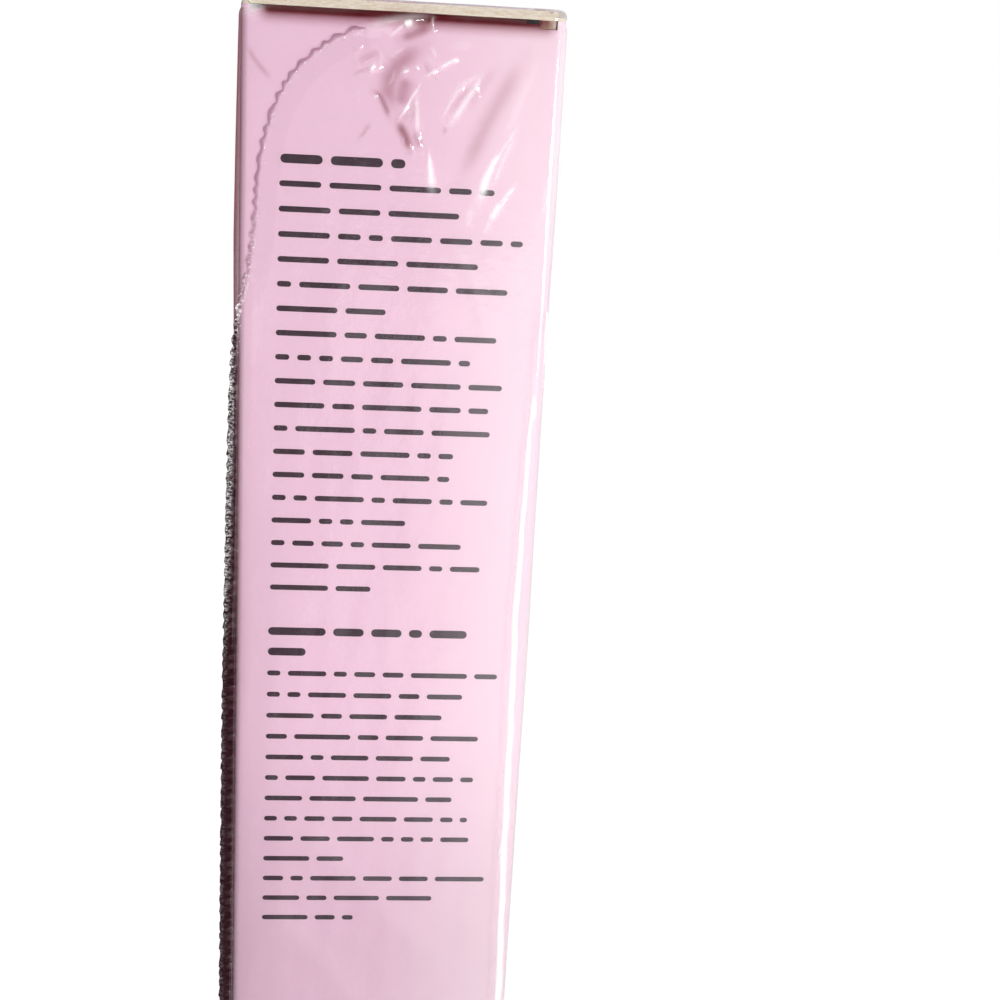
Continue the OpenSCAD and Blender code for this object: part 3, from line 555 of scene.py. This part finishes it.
# Painted light makes the film hazier towards the right and paler near the right edge towards the top and at the
# top-left corner. Painted shade darkens it where it turns round the left edge, and a painted shadow lies close under
# the lid's edge
in_front = Y < front_end
painted_light_haze = np.clip((X - 1.0) / 10.0, 0, 1) ** 1.5 * 0.14
painted_light_haze = painted_light_haze * np.interp(Z, (70, 85, 100, 135, 146, 149), (0.5, 0.7, 1, 1, 0.6, 0.0))
painted_light_haze = painted_light_haze + 0.5 * np.exp(-((X - 11.05) / 0.45) ** 2) * np.clip((Z - 131) / 10, 0, 1)
painted_light_haze = painted_light_haze + 0.7 * np.exp(-((X + 10.3) / 0.62) ** 2 - ((Z - 149.35) / 0.5) ** 2)
milk_and_highlight = np.where(in_front, milk_and_highlight * on_front + painted_light_haze, 0)
edge_reach = np.interp(Z, (75, 92, 104, 128, 148), (0.18, 0.26, 0.32, 0.22, 0.30))
painted_shade_left_edge = np.interp(Z, (75, 104, 128, 148), (0.6, 0.65, 0.7, 0.55))
painted_shade_left_edge = painted_shade_left_edge * np.exp(-(np.clip(X + 11.1, 0, None) / edge_reach) ** 1.3)
under_lid = 0.8 * np.clip((Z - 148.1) / 1.2, 0, 1) ** 1.6
under_lid = under_lid * np.clip((10.4 - X) / 0.7, 0, 1) * np.clip((X + 10.0) / 0.9, 0, 1)
rim_shadow = 0.5 * np.clip((Z - 148.95) / 0.3, 0, 1)
rim_shadow = rim_shadow * np.clip((9.4 - X) / 0.3, 0, 1) * np.clip((X + 9.45) / 0.25, 0, 1)
under_lid = under_lid + rim_shadow
painted_shade = np.where(in_front, np.clip(np.maximum(painted_shade * on_front, painted_shade_left_edge) + under_lid, 0, 1), 0)
points = np.stack([X + lift * outline[:, 2], Y + lift * outline[:, 3], Z], -1)


def thin_mirror(tree, bump):
    """How much a sheet too thin to hold light in mirrors: the same from both of its faces."""
    front = add(tree, "ShaderNodeFresnel", {"IOR": 1.5, "Normal": bump.outputs[0]})
    back = add(tree, "ShaderNodeFresnel", {"IOR": 0.667, "Normal": bump.outputs[0]})
    face = add(tree, "ShaderNodeNewGeometry")
    return add(tree, "ShaderNodeMix",
               {"Factor": face.outputs["Backfacing"], "A": front.outputs[0], "B": back.outputs[0]},
               data_type="FLOAT").outputs["Result"]


def film_layers(tree, bump, tint, shade, rough, faces):
    """The clear wet-looking layer of film, and the milky one that its creases turn to, which also gives painted
    highlights. tint is its flat colour, shade the colour of the painted shade in its darkest fold, and faces how
    strongly its two faces mirror together."""
    painted_fold_shade = add(tree, "ShaderNodeAttribute", attribute_name="painted_fold_shade")
    through = add(tree, "ShaderNodeMix", {"Factor": painted_fold_shade.outputs["Fac"], "A": linear(tint), "B": linear(shade)},
                  data_type="RGBA")
    clear = add(tree, "ShaderNodeBsdfTransparent", {"Color": through.outputs["Result"]})
    gloss = add(tree, "ShaderNodeBsdfGlossy",
                {"Color": linear("#ffffff"), "Roughness": rough, "Normal": bump.outputs[0]})
    both_faces = add(tree, "ShaderNodeMath", {0: thin_mirror(tree, bump), 1: faces}, operation="MULTIPLY",
                     use_clamp=True)
    wet = add(tree, "ShaderNodeMixShader", {0: both_faces.outputs[0], 1: clear.outputs[0], 2: gloss.outputs[0]})
    return wet, add(tree, "ShaderNodeBsdfPrincipled", {"Base Color": linear("#fffafc"), "Roughness": 0.25})


def clear_film(name, tint):
    """Clear shrunk film: glossy, so it mirrors the lamps in small bright folds, milky where it is creased, with painted
    highlights, and darkened by painted shade in its dark folds. Its gloss ripples over about 1 mm."""
    material, tree = new_material(name)
    in_mm = in_millimetres(tree)
    ripple = add(tree, "ShaderNodeTexNoise",
                 {"Vector": in_mm.outputs[0], "Scale": 1.1, "Detail": 4.0, "Roughness": 0.6})
    # Painted shade tints the film's dark folds rose-brown
    wet, milk = film_layers(tree, relief(tree, ripple.outputs["Fac"], 0.00003), tint, "#9a4c54", 0.06, 1.3)
    milky_and_highlight_fold = add(tree, "ShaderNodeAttribute", attribute_name="milky_and_highlight_fold")
    patch = add(tree, "ShaderNodeMapRange",
                {"Value": ripple.outputs["Fac"], "From Min": 0.45, "From Max": 0.75, "To Min": 0.0, "To Max": 0.02})
    haze = add(tree, "ShaderNodeMath", {0: patch.outputs[0], 1: milky_and_highlight_fold.outputs["Fac"]}, operation="ADD",
               use_clamp=True)
    # Milky film scatters light forwards, so it hardly shades the board behind it
    path = add(tree, "ShaderNodeLightPath")
    shaded = add(tree, "ShaderNodeMapRange", {"Value": path.outputs["Is Shadow Ray"], "To Min": 1.0, "To Max": 0.1})
    haze = add(tree, "ShaderNodeMath", {0: haze.outputs[0], 1: shaded.outputs[0]}, operation="MULTIPLY")
    surface = add(tree, "ShaderNodeMixShader", {0: haze.outputs[0], 1: wet.outputs[0], 2: milk.outputs[0]})
    finish_with(tree, surface)
    return material


def film_piece(name, points, closed, milk_and_highlight, painted_shade, material):
    """A sheet of film on a grid of points, with its milky and dark folds."""
    rows, columns = points.shape[:2]
    made = mesh_piece(name, points.reshape(-1, 3), grid_faces(rows, columns, closed), material)
    for key, values in (("milky_and_highlight_fold", milk_and_highlight), ("painted_fold_shade", painted_shade)):
        values = np.ascontiguousarray(np.broadcast_to(values, (rows, columns)), np.float32).ravel()
        made.data.attributes.new(key, "FLOAT", "POINT").data.foreach_set("value", values)
    return made


film_material = clear_film("shrunk polyolefin film", "#fefcfd")
film = film_piece("film_wrap", points, True, milk_and_highlight, painted_shade, film_material)
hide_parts("film_sleeve")
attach(film, "carton")

# Film seam: both edges of the sheet welded and cut by a toothed hot jaw. The weld stands out past the left edge as a
# stiff rim, painted near-black there as painted shade, and then lies over the front panel to the top.
tooth_pitch = 1.05
cut_line = np.array([(-12.02, 1.5), (-12.02, 80.0), (-11.96, 99.0), (-11.82, 110.0), (-11.74, 117.0), (-11.64, 122.3),
                     (-11.5, 126.2), (-11.24, 128.8), (-10.78, 130.5), (-10.36, 133.0), (-10.14, 135.2),
                     (-10.0, 137.9), (-9.82, 139.6), (-9.45, 141.3), (-8.95, 143.0), (-8.4, 144.2), (-7.64, 145.4),
                     (-6.66, 146.4), (-5.67, 147.25), (-4.68, 147.95), (-3.69, 148.4), (-2.76, 148.7)])
passed = np.concatenate([[0], np.cumsum(np.hypot(*np.diff(cut_line, axis=0).T))])
seam_length = passed[-1]
seam_rng = random.Random(7)
teeth = int(seam_length / tooth_pitch)
tooth_deep = [seam_rng.uniform(0.16, 0.30) for _ in range(teeth + 2)]
insets = (0.0, 0.08, 0.16, 0.26, 0.38, 0.52, 0.68, 0.85, 1.1, 1.4, 1.7)
across = len(insets)
steps = teeth * 8
rim_low, rim_high = -11.75, -10.95
glint_line_in, glint_line_wide = 0.38, 0.12
dark_rim_x, dark_rim_top = -10.92, 129.5
smooth_over = 15
U = np.linspace(0, seam_length, steps + 1)
smooth = np.ones(smooth_over) / smooth_over
corners = [np.interp(U, passed, cut_line[:, i]) for i in (0, 1)]
place_x, place_z = [np.convolve(np.pad(c, smooth_over // 2, mode="reflect", reflect_type="odd"), smooth, "valid")
                    for c in corners]
ahead = np.stack([np.gradient(place_x), np.gradient(place_z)], -1)
ahead /= np.hypot(ahead[:, 0], ahead[:, 1])[:, None]
tooth = U / tooth_pitch
tooth = np.clip(tooth + 0.16 * np.sin(1.7 * tooth) + 0.14 * np.sin(0.63 * tooth + 1), 0, teeth)
deep = np.array(tooth_deep)[tooth.astype(int)] * np.interp(place_z, (124, 130), (0.35, 1.0))
notch = deep * (0.5 + 0.5 * np.cos(2 * math.pi * tooth))
points = np.zeros((steps + 1, across, 3))
for column, inset in enumerate(insets):
    reach = inset + notch * max(0.0, 1 - inset / 0.5)
    points[:, column, 0] = place_x + reach * ahead[:, 1]
    points[:, column, 2] = place_z - reach * ahead[:, 0]
drape = front_film(np.clip(points[..., 0], -core, core), points[..., 2])[0]
inside = np.clip((points[..., 0] + core) / 0.9 + 0.15, 0, 1)
flat_y = -film_out - 0.045 - np.clip(drape * inside + 0.05 * (1 - inside), 0, 0.5)
outside = np.clip((-11.0 - points[..., 0]) / 0.35, 0, 1)
ruffle = 0.16 * np.sin(U * 2 * math.pi / 0.83)[:, None] + 0.12 * np.sin(U * 2 * math.pi / 0.37 + 1.0)[:, None]
ruffle = ruffle + 0.10 * np.sin(U * 2 * math.pi / 2.9)[:, None]
points[..., 1] = np.clip(flat_y + outside * (ruffle * 1.2 - 0.02), rim_low, rim_high)
from_edge = np.broadcast_to(np.array(insets), (steps + 1, across))
height = points[..., 2]
cut_edge = np.clip((0.40 - from_edge) / 0.20, 0, 1)
beside_cut = np.exp(-((from_edge - glint_line_in) / glint_line_wide) ** 2)
# Milky frost at the weld's cut, with painted glints as white flecks and as a line just inside it
frost_and_glints = cut_edge * np.interp(height, (102, 110, 126, 130, 138), (0.1, 0.8, 0.95, 0.85, 0.0))
frost_and_glints = np.maximum(frost_and_glints, np.interp(height, (103, 112, 126, 130, 139), (0.0, 0.5, 0.8, 0.9, 0.0)) * beside_cut)
frost_and_glints = np.maximum(frost_and_glints, 0.40 * beside_cut * np.clip((height - 137) / 3, 0, 1))
# Painted shade: where the rim stands out past the left edge, below about 129 mm, it is near-black
painted_dark_rim_share = np.clip((dark_rim_x - points[..., 0]) / 0.14, 0, 1) * np.clip((dark_rim_top - height) / 2, 0, 1)
painted_dark_rim_share = np.ascontiguousarray(painted_dark_rim_share, np.float32).ravel()
# The weld is clear and glossy, with white flecks of about 0.2 mm at its cut that are painted glints, a grey-mauve
# painted shade along its toothed cut near the top, and a near-black brown painted shade where it stands out
seam_material, tree = new_material("film weld, cut by a hot jaw")
in_mm = in_millimetres(tree)
milky_and_highlight_fold = add(tree, "ShaderNodeAttribute", attribute_name="milky_and_highlight_fold")
painted_dark_rim = add(tree, "ShaderNodeAttribute", attribute_name="painted_dark_rim")
crackle = add(tree, "ShaderNodeTexNoise", {"Vector": in_mm.outputs[0], "Scale": 4.5, "Detail": 4.0, "Roughness": 0.7})
fleck = add(tree, "ShaderNodeMapRange", {"Value": crackle.outputs["Fac"], "From Min": 0.46, "From Max": 0.62})
white = add(tree, "ShaderNodeMath", {0: milky_and_highlight_fold.outputs["Fac"], 1: fleck.outputs[0]}, operation="MULTIPLY")
bump = relief(tree, crackle.outputs["Fac"], 0.00003)
wet, milk = film_layers(tree, bump, "#ffffff", "#bfa6b2", 0.08, 0.8)
hazed = add(tree, "ShaderNodeMixShader", {0: white.outputs[0], 1: wet.outputs[0], 2: milk.outputs[0]})
kept = add(tree, "ShaderNodeMath", {0: 1.0, 1: white.outputs[0]}, operation="SUBTRACT")
dark_rim_mix = add(tree, "ShaderNodeMath", {0: painted_dark_rim.outputs["Fac"], 1: kept.outputs[0]}, operation="MULTIPLY")
dark_rim_colour = add(tree, "ShaderNodeMix", {"Factor": crackle.outputs["Fac"], "A": linear("#12070a"), "B": linear("#4a1f2c")},
            data_type="RGBA")
dark_rim_surface = add(tree, "ShaderNodeBsdfPrincipled",
            {"Base Color": dark_rim_colour.outputs["Result"], "Roughness": 0.4, "Specular IOR Level": 0.16,
             "Normal": bump.outputs[0]})
surface = add(tree, "ShaderNodeMixShader", {0: dark_rim_mix.outputs[0], 1: hazed.outputs[0], 2: dark_rim_surface.outputs[0]})
finish_with(tree, surface)
# Painted shade darkens the toothed cut near the top
seam = film_piece("film_weld", points, False, frost_and_glints, 0.62 * cut_edge * np.clip((height - 126) / 6, 0, 1),
                  seam_material)
seam.data.attributes.new("painted_dark_rim", "FLOAT", "POINT").data.foreach_set("value", painted_dark_rim_share)
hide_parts("film_seam")
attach(seam, "carton")

# Film fold on the right margin: slack that was pressed flat as the sleeve shrank. Its rolled inner edge is milky and
# painted white as a painted highlight, and its flat part lies out to the panel's edge.
fold_rows = np.linspace(1.5, 129.5, 440)
roll_x = np.interp(fold_rows, (1.5, 60, 74, 80, 85, 92, 99, 107, 113, 118.5, 122, 129.5),
                   (10.35, 10.3, 10.22, 10.1, 9.98, 9.9, 9.84, 9.72, 9.86, 9.96, 10.1, 10.2))
roll_w = np.interp(fold_rows, (1.5, 60, 74, 80, 99, 107, 113, 118.5, 121.2, 122.2, 123.4, 129.5),
                   (0.55, 0.58, 0.62, 0.6, 0.6, 0.56, 0.48, 0.4, 0.34, 0.5, 0.28, 0.28))
roll_x = roll_x + 0.02 * np.sin(fold_rows * 0.93)
roll_w = roll_w + 0.03 * np.sin(fold_rows * 1.7 + 0.6)
fading = np.interp(fold_rows, (121.6, 122.4, 123.0, 123.6, 127.0, 129.5), (1.0, 1.0, 0.55, 0.25, 0.15, 0.0))
shares = np.array([-0.9, -0.4, 0, 0.14, 0.3, 0.5, 0.7, 0.86, 1.0])
points = np.zeros((len(fold_rows), len(shares) + 3, 3))
milk_and_highlight = np.zeros(points.shape[:2])
# Painted highlight: the roll's milky white
for column, (share, white) in enumerate(zip(shares, (0.0, 0.12, 0.3, 0.8, 1.0, 1.0, 1.0, 0.6, 0.15))):
    points[:, column, 0] = roll_x + roll_w * share
    points[:, column, 1] = -film_out - 0.07 - 0.03 * fading * math.sin(math.pi * max(0, share))
    milk_and_highlight[:, column] = fading * white
for column, (x, y, white) in enumerate(((10.72, -11.15, 0.03), (10.92, -11.17, 0.02), (11.04, -11.13, 0.08))):
    points[:, len(shares) + column, 0] = np.maximum(x, roll_x + roll_w + 0.03 * (column + 1))
    points[:, len(shares) + column, 1] = y
    milk_and_highlight[:, len(shares) + column] = white
points[..., 2] = fold_rows[:, None]
edge_fold = film_piece("film_margin_fold", points, False, milk_and_highlight, 0.0, film_material)
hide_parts("film_edge_fold")
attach(edge_fold, "carton")

# Film over the lid: cut from the sleeve along the rim when the pack is opened, so it goes with
# the lid. Its skirt hangs over the lid's raw edges on three sides, drawn round the corners.
lid_x0, lid_x1, lid_y = -10.2, 11.1, 11.05
top_r, corner_r = 0.5, 0.9
skirt_low, lid_film_top = 149.55, 150.27
least_z, most_z = 150.15, 150.34
skirt_rings, rim_rings = 2, 6


def lid_ring(inset, z):
    """Outline of the lid cover, from the hinge round the front, the right and the back."""
    r = corner_r
    x1, y1 = lid_x1 - inset, lid_y - inset
    turn = np.linspace(0, math.pi / 2, 8)[1:-1]
    line = [(x, -y1) for x in np.linspace(lid_x0, x1 - r, 100)]
    line += [(x1 - r + r * math.sin(a), -y1 + r - r * math.cos(a)) for a in turn]
    line += [(x1, y) for y in np.linspace(-y1 + r, y1 - r, 40)]
    line += [(x1 - r + r * math.cos(a), y1 - r + r * math.sin(a)) for a in turn]
    line += [(x, y1) for x in np.linspace(x1 - r, lid_x0, 60)]
    return [(x, y, z) for x, y in line]


rings = [lid_ring(0.02, skirt_low), lid_ring(0.0, skirt_low + 0.15)]
for a in np.linspace(0, math.pi / 2, rim_rings):
    rings.append(lid_ring(top_r * (1 - math.cos(a)), lid_film_top - top_r + top_r * math.sin(a)))
for inset in (1.2, 2.2, 3.6, 5.2, 7.0, 9.0, 10.6):
    rings.append(lid_ring(inset, lid_film_top - 0.02))
points = np.array(rings)
ripples = waves(points[..., 0], points[..., 1] + points[..., 2] * 2, 31, 9, 2.0, 9.0, 0.03)
flat = skirt_rings + rim_rings
points[skirt_rings:, :, 2] = np.clip((points[..., 2] + ripples)[skirt_rings:], skirt_low, most_z)
points[flat:, :, 2] = np.maximum(points[flat:, :, 2], least_z)
lid_film = film_piece("film_lid_cover", points, False, 0.0, 0.0, film_material)
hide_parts("film_top_end")
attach(lid_film, "lid")

# Film under the foot: the same sleeve's lower end, shrunk in under the carton and pressed
# flat by its weight.
over_table, under_board = 0.005, 0.118
levels = []
for inset, z in ((0.0, 0.115), (0.35, 0.03), (1.2, 0.02), (3.0, 0.05), (6.0, 0.03), (9.0, 0.06), (10.9, 0.04)):
    size = film_out + 0.04 - inset
    r = max(0.05, film_r - inset * 0.05)
    line = []
    for sx, sy, start in ((1, -1, -math.pi / 2), (1, 1, 0), (-1, 1, math.pi / 2), (-1, -1, math.pi)):
        for a in np.linspace(start, start + math.pi / 2, 8):
            line.append((sx * (size - r) + r * math.cos(a), sy * (size - r) + r * math.sin(a), z))
    levels.append(line)
points = np.array(levels)[::-1]
ripples = 0.02 * np.sin(points[..., 0] * 2.1 + points[..., 1] * 1.3)
points[..., 2] = np.clip(points[..., 2] + ripples, over_table, under_board)
foot_film = film_piece("film_foot", points, True, 0.04, 0.0, film_material)
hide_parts("film_bottom_end")
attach(foot_film, "carton")


# Pen barrel and twist knob: injection-moulded glossy ABS in the pack's pink, with the faint
# flow marks of the mould along them.
def moulded(name, low, high, rough, marks):
    """A moulded plastic: two near tones that drift along the part, and fine marks in its gloss.
    marks is the size of the marks in mm."""
    material, tree = new_material(name)
    in_mm = in_millimetres(tree, (1000, 1000, 300))
    flow = add(tree, "ShaderNodeTexNoise", {"Vector": in_mm.outputs[0], "Scale": 0.25, "Detail": 3.0})
    tone = add(tree, "ShaderNodeMix", {"Factor": flow.outputs["Fac"], "A": linear(low), "B": linear(high)},
               data_type="RGBA")
    fine = add(tree, "ShaderNodeTexNoise", {"Vector": in_mm.outputs[0], "Scale": 1 / marks, "Detail": 4.0})
    dull = add(tree, "ShaderNodeMapRange",
               {"Value": fine.outputs["Fac"], "From Min": 0.3, "From Max": 0.7, "To Min": rough * 0.75,
                "To Max": rough * 1.3})
    bump = relief(tree, fine.outputs["Fac"], 0.000008)
    surface = add(tree, "ShaderNodeBsdfPrincipled",
                  {"Base Color": tone.outputs["Result"], "Roughness": dull.outputs[0], "Normal": bump.outputs[0]})
    finish_with(tree, surface)
    return material


dress(["barrel", "knob"], moulded("moulded ABS, glossy pink", "#e58fae", "#eca3bd", 0.14, 0.4))

# Cap shell: moulded like the barrel, in a paler pearl pink, so that the cap tells from it. It is
# pressed over its liner and pulls straight off the neck.
dress(["cap_shell"], moulded("moulded cap, pearl pink", "#f3c3d2", "#f8d3de", 0.18, 0.3))

# Inner works: natural polypropylene, satin and a little milky, as it comes from the mould. The
# pieces are pressed or snapped into the barrel, the cap and the knob.
dress(["nozzle_block", "feed_tube", "rear_bush", "click_ring", "guide_bush", "cap_liner", "driver_tube", "lead_screw",
       "piston"],
      moulded("natural polypropylene", "#e2dfd8", "#f1efea", 0.38, 0.25))

# Seals: rings moulded in nitrile rubber, with the dry bloom that such rings have, stretched into
# the grooves of the neck and the piston.
dress(["neck_seal", "piston_seals"], moulded("nitrile rubber", "#121212", "#232222", 0.6, 0.12))

# Collar, ferrule and knob plug: turned aluminium, anodised rose gold. The turning marks run
# round the part and spread its highlights. They are drawn 0.1 mm apart, coarser than they are, so
# that they show.
metal, tree = new_material("turned aluminium, rose gold anodised")
round_part = in_millimetres(tree, (60, 60, 9000))
turned = add(tree, "ShaderNodeTexNoise", {"Vector": round_part.outputs[0], "Scale": 1.0, "Detail": 3.0})
tone = add(tree, "ShaderNodeMix", {"Factor": turned.outputs["Fac"], "A": linear("#d59a86"), "B": linear("#e6b8a4")},
           data_type="RGBA")
dull = add(tree, "ShaderNodeMapRange",
           {"Value": turned.outputs["Fac"], "From Min": 0.3, "From Max": 0.7, "To Min": 0.18, "To Max": 0.32})
bump = relief(tree, turned.outputs["Fac"], 0.000006)
surface = add(tree, "ShaderNodeBsdfPrincipled",
              {"Base Color": tone.outputs["Result"], "Metallic": 1.0, "Roughness": dull.outputs[0],
               "Normal": bump.outputs[0]})
finish_with(tree, surface)
dress(["collar_ring", "ferrule", "knob_plug"], metal)

# Brush: tapered nylon hairs, set in the ferrule round the feed tube and drawn to a soft point.
# Each hair has three sides, and only every second one stands over the tube's own end.
hair_rng = random.Random(3)
hairs, tuft_r, tube_r = 430, 1.92, 1.06
hair_low, tube_top, ferrule_top, hair_high = 95.2, 96.5, 99.0, 106.5
hair_r = 0.075
golden_turn = 2.39996
points, faces = [], []
for k in range(hairs):
    r0 = tuft_r * math.sqrt((k + 0.5) / hairs)
    a0 = k * golden_turn
    if r0 < tube_r and k % 2:
        continue
    top = hair_high - 2.6 * (r0 / tuft_r) ** 2 - hair_rng.uniform(0, 0.5)
    lean_a = hair_rng.uniform(-0.12, 0.12)
    first = len(points)
    start = hair_low if r0 > tube_r else tube_top
    for step in range(6):
        t = step / 5
        z = start + (top - start) * t
        up = max(0.0, (z - ferrule_top) / (hair_high - ferrule_top))
        spread = r0 * (1 - 0.62 * up ** 1.6)
        thick = hair_r * (1 - 0.65 * t)
        x, y = spread * math.cos(a0 + lean_a * t), spread * math.sin(a0 + lean_a * t)
        points += [(x + thick * math.cos(b), y + thick * math.sin(b), z) for b in (0.3, 2.4, 4.5)]
    for step in range(5):
        for side in range(3):
            a, b = first + step * 3 + side, first + step * 3 + (side + 1) % 3
            faces.append((a, b, b + 3, a + 3))
    faces += [(first + 2, first + 1, first), (first + 15, first + 16, first + 17)]
# Nylon: ivory with a soft gloss. Streaks about 0.2 mm wide and 3 mm long tell the hairs apart
nylon, tree = new_material("tapered nylon hair")
in_mm = in_millimetres(tree, (6000, 6000, 300))
strand = add(tree, "ShaderNodeTexNoise", {"Vector": in_mm.outputs[0], "Scale": 1.0, "Detail": 2.0})
tone = add(tree, "ShaderNodeMix", {"Factor": strand.outputs["Fac"], "A": linear("#d8cbb6"), "B": linear("#f6efe2")},
           data_type="RGBA")
surface = add(tree, "ShaderNodeBsdfPrincipled", {"Base Color": tone.outputs["Result"], "Roughness": 0.35})
finish_with(tree, surface)
tuft = mesh_piece("brush_tuft", points, faces, nylon)
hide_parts("brush_hair")
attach(tuft, "pen")
